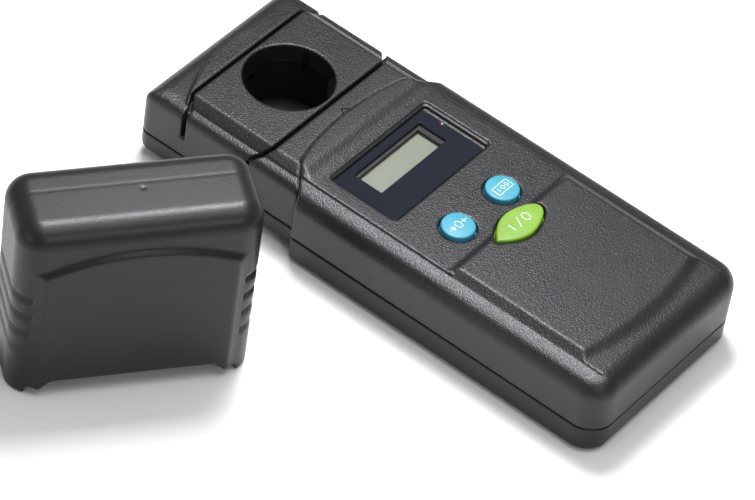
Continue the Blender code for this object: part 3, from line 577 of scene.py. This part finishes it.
# ------------------------------------------------------------------ light cap, in its own frame
def cap_volume():
    v = Volume((-35.0, -0.9, -0.9), (35.0, 30.4, 62.6), STEP)

    def outer(x, y, z):
        body = rmax(plan(x, y, 34.0, 1.4, 29.4, 7.5, 7.5), z - 61.5, 6.5)
        dip = 0
        for edge in (37.6, 31.0, 24.4, 17.6):
            below = edge - z
            dip = dip + 0.75 * step01(-0.1, 0.25, below) * (1 - step01(0.3, 3.6, below))
        where = step01(26.2, 26.9, np.abs(x)) * (1 - step01(23.0, 24.6, y))
        # faint parting line, and the moulding gate's mark in the middle of the top
        parting = 0.07 * np.exp(-((y - 18.3) / 0.45) ** 2)
        gate = 0.22 * np.exp(-(np.hypot(x - 2.0, y - 16.0) / 0.7) ** 2) * (z > 58)
        return body + dip * where + parting + gate

    v.add(outer)

    def field(x, y, z):
        side = (1.4 * (np.abs(x) - 26.5) - 2.0 * y) / 2.441
        crown = 46.2 + 5.4 * (1 - (x / 26.4) ** 2)
        top = (1.4 * (z - crown) - 1.7 * y) / 2.2
        return np.maximum(np.maximum(smax(smax(side, top, 0.5), -y, 0.35), y - 2.2), np.abs(x) - 29.4)

    v.add(field, k=0.35, y=(-2, 8), z=(-2, 56))
    v.cut(lambda x, y, z: rmax(plan(x, y, 31.6, 2.9, 27.8, 5.0, 5.0), z - 59.3, 3.5))
    v.cut(lambda x, y, z: box3(x, y, z, -27.4, 27.4, 1.4, 6.0, -4.0, 44.0))

    def mouth(x, y, z):
        a = np.abs(x)
        rise = 2.8 * (1 - step01(28.8, 29.9, a)) + 2.8 * (1 - step01(22.4, 26.4, a))
        return np.maximum(z - rise, y - 6.0)

    v.cut(mouth, r=0.5, y=(-2, 9), z=(-2, 9))
    v.keep(lambda x, y, z: -z, r=0.5)
    return v


cap_place = Matrix.Translation((-0.1018, 0.0240, 0.0)) @ Matrix.Rotation(math.atan2(-0.602, 0.798), 4, "Z")
cap_shell = skin("light_cap_shell", cap_volume(), CAP_MAT, 120000, place=cap_place)
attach(cap_shell, "light_cap")
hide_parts("cap")


# ------------------------------------------------------------------ smaller pieces
def mesh_object(name, bm, mats, body, angle=40.0):
    bmesh.ops.recalc_face_normals(bm, faces=bm.faces[:])
    bmesh.ops.scale(bm, vec=(MM, MM, MM), verts=bm.verts[:])
    mesh = bpy.data.meshes.new(name)
    bm.to_mesh(mesh)
    bm.free()
    mesh.shade_smooth()
    mesh.set_sharp_from_angle(angle=math.radians(angle))
    obj = bpy.data.objects.new(name, mesh)
    bpy.context.scene.collection.objects.link(obj)
    for mat in mats:
        mesh.materials.append(mat)
    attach(obj, body)
    return obj


def loft(rings, closed=True):
    bm = bmesh.new()
    rows = [[bm.verts.new(p) for p in ring] for ring in rings]
    count = len(rows[0])
    for low, high in zip(rows, rows[1:]):
        for i in range(count):
            bm.faces.new((low[i], low[(i + 1) % count], high[(i + 1) % count], high[i]))
    if closed:
        bm.faces.new(list(reversed(rows[0])))
        bm.faces.new(rows[-1])
    return bm


def round_edge(outer, radius, low, count=7):
    """(radius, height) pairs over a rounded edge from a wall up to a top."""
    return [(outer - radius * (1 - math.cos(a)), low + radius * math.sin(a))
            for a in (math.pi / 2 * i / count for i in range(count + 1))]


def dome(r, limit, height=0.22):
    return height * (1 - (r / limit) ** 2)


def round_key(name, xy, body, node):
    cx, cy = xy
    top, edge = 27.5, 0.6
    profile = [(2.0, 21.7), (2.0, 22.9), (2.2, 23.0), (6.1, 23.0), (6.2, 23.1), (6.2, 23.8), (6.1, 23.9), (5.2, 23.95), (5.02, 24.2)]
    profile += round_edge(5.0, edge, top - edge)
    profile += [(r, top + dome(r, 4.15)) for r in (3.8, 3.2, 2.4, 1.6, 0.8, 0.2)]
    rings = [[(cx + r * math.cos(a), cy + r * math.sin(a), z) for a in (2 * math.pi * i / 72 for i in range(72))]
             for r, z in profile]
    key = mesh_object(name, loft(rings), [BLUE], body)
    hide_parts(node)
    return key


round_key("zero_key_cap", ZERO_XY, "zero_key", "zero_button")
round_key("read_key_cap", READ_XY, "read_key", "read_button")


def power_key_mesh():
    cx, cy = POWER_XY
    outline = leaf(10.0, 5.05, 40)
    levels = [(1.45, 1.3, 23.0), (1.5, 1.35, 23.1), (1.5, 1.35, 23.8), (1.4, 1.25, 23.9), (0.1, 0.1, 24.0), (0.0, 0.0, 24.3)]
    rings = [[(cx + x * (1 + gx / 10.0), cy + y * (1 + gy / 5.05), z) for x, y in outline] for gx, gy, z in levels]
    top, edge = 28.12, 0.75
    for inset, z in [(10.0 - r, z) for r, z in round_edge(10.0, edge, top - edge)]:
        rings.append([(cx + x * (1 - inset / 10.0), cy + y * (1 - inset / 5.05), z) for x, y in outline])
    last = rings[-1]
    for scale in (0.9, 0.75, 0.55, 0.35, 0.12):
        rings.append([(cx + (x - cx) * scale, cy + (y - cy) * scale, top + 0.25 * (1 - scale ** 2)) for x, y, _ in last])
    return loft(rings)


power_cap = mesh_object("power_key_cap", power_key_mesh(), [GREEN], "power_key")
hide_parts("power_button")


def strokes(name, lines, centre, height, body, width=0.42, turn=0.0, thick=0.05, mat=WHITE):
    """Printed marks: thin flat strips that follow the key's top."""
    bm = bmesh.new()
    c, s = math.cos(turn), math.sin(turn)

    def put(x, y, up):
        wx, wy = centre[0] + x * c - y * s, centre[1] + x * s + y * c
        return bm.verts.new((wx, wy, height(wx - centre[0], wy - centre[1]) + up))

    for line in lines:
        closed = line[0] == line[-1]
        dense = []
        for (ax, ay), (bx, by) in zip(line, line[1:]):
            n = max(1, int(math.hypot(bx - ax, by - ay) / 0.35))
            dense += [(ax + (bx - ax) * i / n, ay + (by - ay) * i / n) for i in range(n)]
        if not closed:
            dense.append(line[-1])
        rows = []
        count = len(dense)
        for i, (x, y) in enumerate(dense):
            before = dense[(i - 1) % count] if closed or i else dense[0]
            after = dense[(i + 1) % count] if closed or i < count - 1 else dense[-1]
            dx, dy = after[0] - before[0], after[1] - before[1]
            size = math.hypot(dx, dy) or 1.0
            nx, ny = -dy / size * width / 2, dx / size * width / 2
            rows.append([put(x - nx, y - ny, -0.05), put(x + nx, y + ny, -0.05), put(x + nx, y + ny, thick), put(x - nx, y - ny, thick)])
        pairs = list(zip(rows, rows[1:])) + ([(rows[-1], rows[0])] if closed else [])
        for low, high in pairs:
            for k in range(4):
                bm.faces.new((low[k], low[(k + 1) % 4], high[(k + 1) % 4], high[k]))
        if not closed:
            bm.faces.new(list(reversed(rows[0])))
            bm.faces.new(rows[-1])
    return mesh_object(name, bm, [mat], body)


def key_top(x, y):
    return 27.5 + dome(min(math.hypot(x, y), 4.15), 4.15)


def power_top(x, y):
    q = min(math.hypot(x / 9.5, y / 4.15), 1.0)
    return 28.12 + 0.25 * (1 - q * q)


def ellipse(cx, cy, a, b, count=20):
    pts = [(cx + a * math.cos(2 * math.pi * i / count), cy + b * math.sin(2 * math.pi * i / count)) for i in range(count)]
    return pts + [pts[0]]


# generic marks: a nought between two arrows, a reading in a frame, and on/off
strokes("zero_mark", [ellipse(0, 0, 0.9, 1.3),
                      [(-3.7, 0.0), (-1.75, 0.0)], [(-2.5, 0.75), (-1.7, 0.0), (-2.5, -0.75)],
                      [(3.7, 0.0), (1.75, 0.0)], [(2.5, 0.75), (1.7, 0.0), (2.5, -0.75)]],
        ZERO_XY, key_top, "zero_key", width=0.28)
strokes("read_mark", [[(-3.1, -1.5), (3.1, -1.5), (3.1, 1.5), (-3.1, 1.5), (-3.1, -1.5)],
                      [(-1.8, -0.7), (-1.8, 0.7)], ellipse(-0.1, 0.0, 0.52, 0.72, 14), ellipse(1.7, 0.0, 0.52, 0.72, 14)],
        READ_XY, key_top, "read_key", width=0.26)
strokes("power_mark", [[(-3.2, -1.45), (-3.2, 1.45)], [(-1.0, -1.8), (1.0, 1.8)], ellipse(3.2, 0.0, 1.1, 1.45)],
        POWER_XY, power_top, "power_key", width=0.3)
# alignment arrow beside the neck, filled in black
strokes("neck_arrow", [[(-1.5, -0.9), (0.0, 0.9), (1.5, -0.9)]], (1.2, 35.8), lambda x, y: NECK, "meter",
        width=0.42, thick=0.04, mat=ENGRAVED)


# window pane: printed round its edge and clear over the display
def frame_rings(x0, x1, y0, y1, r, count=8):
    pts = []
    for cx, cy, start in ((x1 - r, y1 - r, 0), (x0 + r, y1 - r, 90), (x0 + r, y0 + r, 180), (x1 - r, y0 + r, 270)):
        for i in range(count + 1):
            a = math.radians(start + 90 * i / count)
            pts.append((cx + r * math.cos(a), cy + r * math.sin(a)))
    return pts


WINDOW = (-21.9, 18.8, -1.6, 20.8)
OPENING = (-15.7, 13.8, 8.3, 18.1)
pane_low, pane_top = 25.2, 25.75
rings = []
for inset, z in ((0.0, pane_low), (0.0, pane_top - 0.22), (0.02, pane_top - 0.2), (0.2, pane_top - 0.02), (0.22, pane_top), (0.26, pane_top)):
    x0, x1, y0, y1 = WINDOW
    rings.append([(x, y, z) for x, y in frame_rings(x0 + inset, x1 - inset, y0 + inset, y1 - inset, 1.0 - inset * 0.5)])
x0, x1, y0, y1 = OPENING
for inset, z in ((-0.3, pane_top), (-0.26, pane_top), (-0.24, pane_top - 0.02), (0.0, pane_top - 0.26), (0.02, pane_top - 0.3), (0.02, pane_low)):
    rings.append([(x, y, z) for x, y in frame_rings(x0 + inset, x1 - inset, y0 + inset, y1 - inset, 0.35)])
bm = loft(rings, closed=False)
bm.verts.ensure_lookup_table()
count = len(rings[0])
for i in range(count):
    j = (i + 1) % count
    last = (len(rings) - 1) * count
    bm.faces.new((bm.verts[i], bm.verts[j], bm.verts[last + j], bm.verts[last + i]))
window_mask = mesh_object("window_mask", bm, [MASK], "meter")
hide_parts("window_lens")
clear = [[(x, y, z) for x, y in frame_rings(x0 + 0.16, x1 - 0.16, y0 + 0.16, y1 - 0.16, 0.3)] for z in (25.25, 25.42)]
window_clear = mesh_object("window_clear", loft(clear), [CLEAR], "meter")
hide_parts("window_lens")

# display glass with a bevelled upper edge
x0, x1, y0, y1 = -17.0, 13.1, 7.5, 17.2
rings = [[(x, y, z) for x, y in frame_rings(x0 + i, x1 - i, y0 + i, y1 - i, 0.4)]
         for i, z in ((0.0, 21.0), (0.0, 23.2), (0.06, 23.34), (0.2, 23.4))]
lcd = mesh_object("lcd_panel", loft(rings), [LCD], "meter")
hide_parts("lcd_glass")
# small dark red mark printed at the far edge of the mask, with a pale triangle in it
DARK_RED = plain("dark_red", (0.022, 0.002, 0.004), (0.032, 0.003, 0.006), 0.3)
mark = [(18.45, 14.9), (18.45, 11.5), (17.3, 12.2), (17.3, 14.2)]
spot = mesh_object("signal_mark", loft([[(x, y, z) for x, y in mark] for z in (pane_top - 0.05, pane_top + 0.02)]), [DARK_RED], "meter")
tick = mesh_object("signal_tick", loft([[(x, y, z) for x, y in ((18.2, 13.6), (18.2, 12.8), (17.7, 13.2))] for z in (pane_top, pane_top + 0.04)]),
                   [WHITE], "meter")

# ------------------------------------------------------------------ finishes of the CAD nodes that stay
for names, mat in (
    (["case_seal", "sensor_cable"], SEAL),
    (["battery_door"], CASE_LOW),
    (["cell_holder", "led_holder", "detector_holder"], HOLDER),
    (["vial_spring"], STEEL),
    (["lcd_frame", "zero_switch", "read_switch", "power_switch"], BLACK),
    (["lcd_connector_strip"], STRIP),
    (["main_board", "led_board", "detector_board"], BOARD),
    (["main_chip"], CHIP),
    (["led", "photodiode"], DIODE),
    (["optical_filter"], FILTER),
    ([f"battery_{i}" for i in range(1, 5)], CELL),
    ([f"battery_spring_{i}" for i in range(1, 5)], NICKEL),
    (["foot_contact_left", "foot_contact_right", "head_contact_middle", "head_contact_plus", "head_contact_minus"], NICKEL),
    ([f"case_screw_{i}" for i in range(1, 5)] + [f"board_screw_{i}" for i in range(1, 5)], STEEL),
):
    for name in names:
        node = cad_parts[name]
        for slot in node.material_slots:
            slot.material = mat

# ------------------------------------------------------------------ floor, light, camera
bm = bmesh.new()
corners = [bm.verts.new(p) for p in ((-3, -3, -0.0002), (3, -3, -0.0002), (3, 3, -0.0002), (-3, 3, -0.0002))]
bm.faces.new(corners)
mesh = bpy.data.meshes.new("floor")
bm.to_mesh(mesh)
bm.free()
floor = bpy.data.objects.new("floor", mesh)
bpy.context.scene.collection.objects.link(floor)
paper = bpy.data.materials.new("pale_paper")
g = Graph(paper)
g.wire(g.blend(g.noise(30.0, 2.0), (0.86, 0.86, 0.855), (0.88, 0.88, 0.875)), g.shader.inputs["Base Color"])
g.shader.inputs["Roughness"].default_value = 0.85
g.shader.inputs["Specular IOR Level"].default_value = 0.2
mesh.materials.append(paper)

world = bpy.data.worlds.new("studio")
world.use_nodes = True
world.node_tree.nodes["Background"].inputs["Color"].default_value = (0.97, 0.98, 1.0, 1)
world.node_tree.nodes["Background"].inputs["Strength"].default_value = 0.27
bpy.context.scene.world = world


def lamp(name, place, target, size, power, colour=(1, 1, 1), size_y=None):
    data = bpy.data.lights.new(name, "AREA")
    data.shape = "RECTANGLE"
    data.size = size
    data.size_y = size_y or size
    data.energy = power
    data.color = colour
    obj = bpy.data.objects.new(name, data)
    bpy.context.scene.collection.objects.link(obj)
    obj.location = place
    obj.rotation_euler = (Vector(target) - Vector(place)).to_track_quat("-Z", "Y").to_euler()
    return obj


lamp("softbox", (0.085, 0.110, 0.4845), (-0.02, -0.05, 0.025), 0.16, 3.6, (0.96, 0.975, 1.02))
lamp("fill", (-0.05, -0.25, 1.3), (0.0, 0.0, 0.0), 0.8, 6.8)
lamp("warm_card", (-0.56, 0.20, 0.20), (-0.02, -0.03, 0.02), 0.34, 0.30, (1.0, 0.84, 0.6), 0.07)
lamp("low_card", (-0.305, -0.449, 0.359), (-0.10, 0.02, 0.05), 0.12, 0.45, (1.0, 0.98, 0.94))

bpy.context.scene.view_settings.view_transform = "Standard"

camera_data = bpy.data.cameras.new("camera")
camera_data.sensor_width = 36.0
camera_data.lens = 218.95
camera_data.clip_start = 0.01
camera_data.clip_end = 20.0
camera = bpy.data.objects.new("camera", camera_data)
bpy.context.scene.collection.objects.link(camera)
ahead, up, side = Vector((0.59385, 0.37171, -0.71356)), Vector((0.51069, 0.51118, 0.69130)), Vector((0.62172, -0.77494, 0.11374))
turn = Matrix((side, up, -ahead)).transposed().to_4x4()
camera.matrix_world = Matrix.Translation((-0.78772, -0.47667, 0.93130)) @ turn
bpy.context.scene.camera = camera
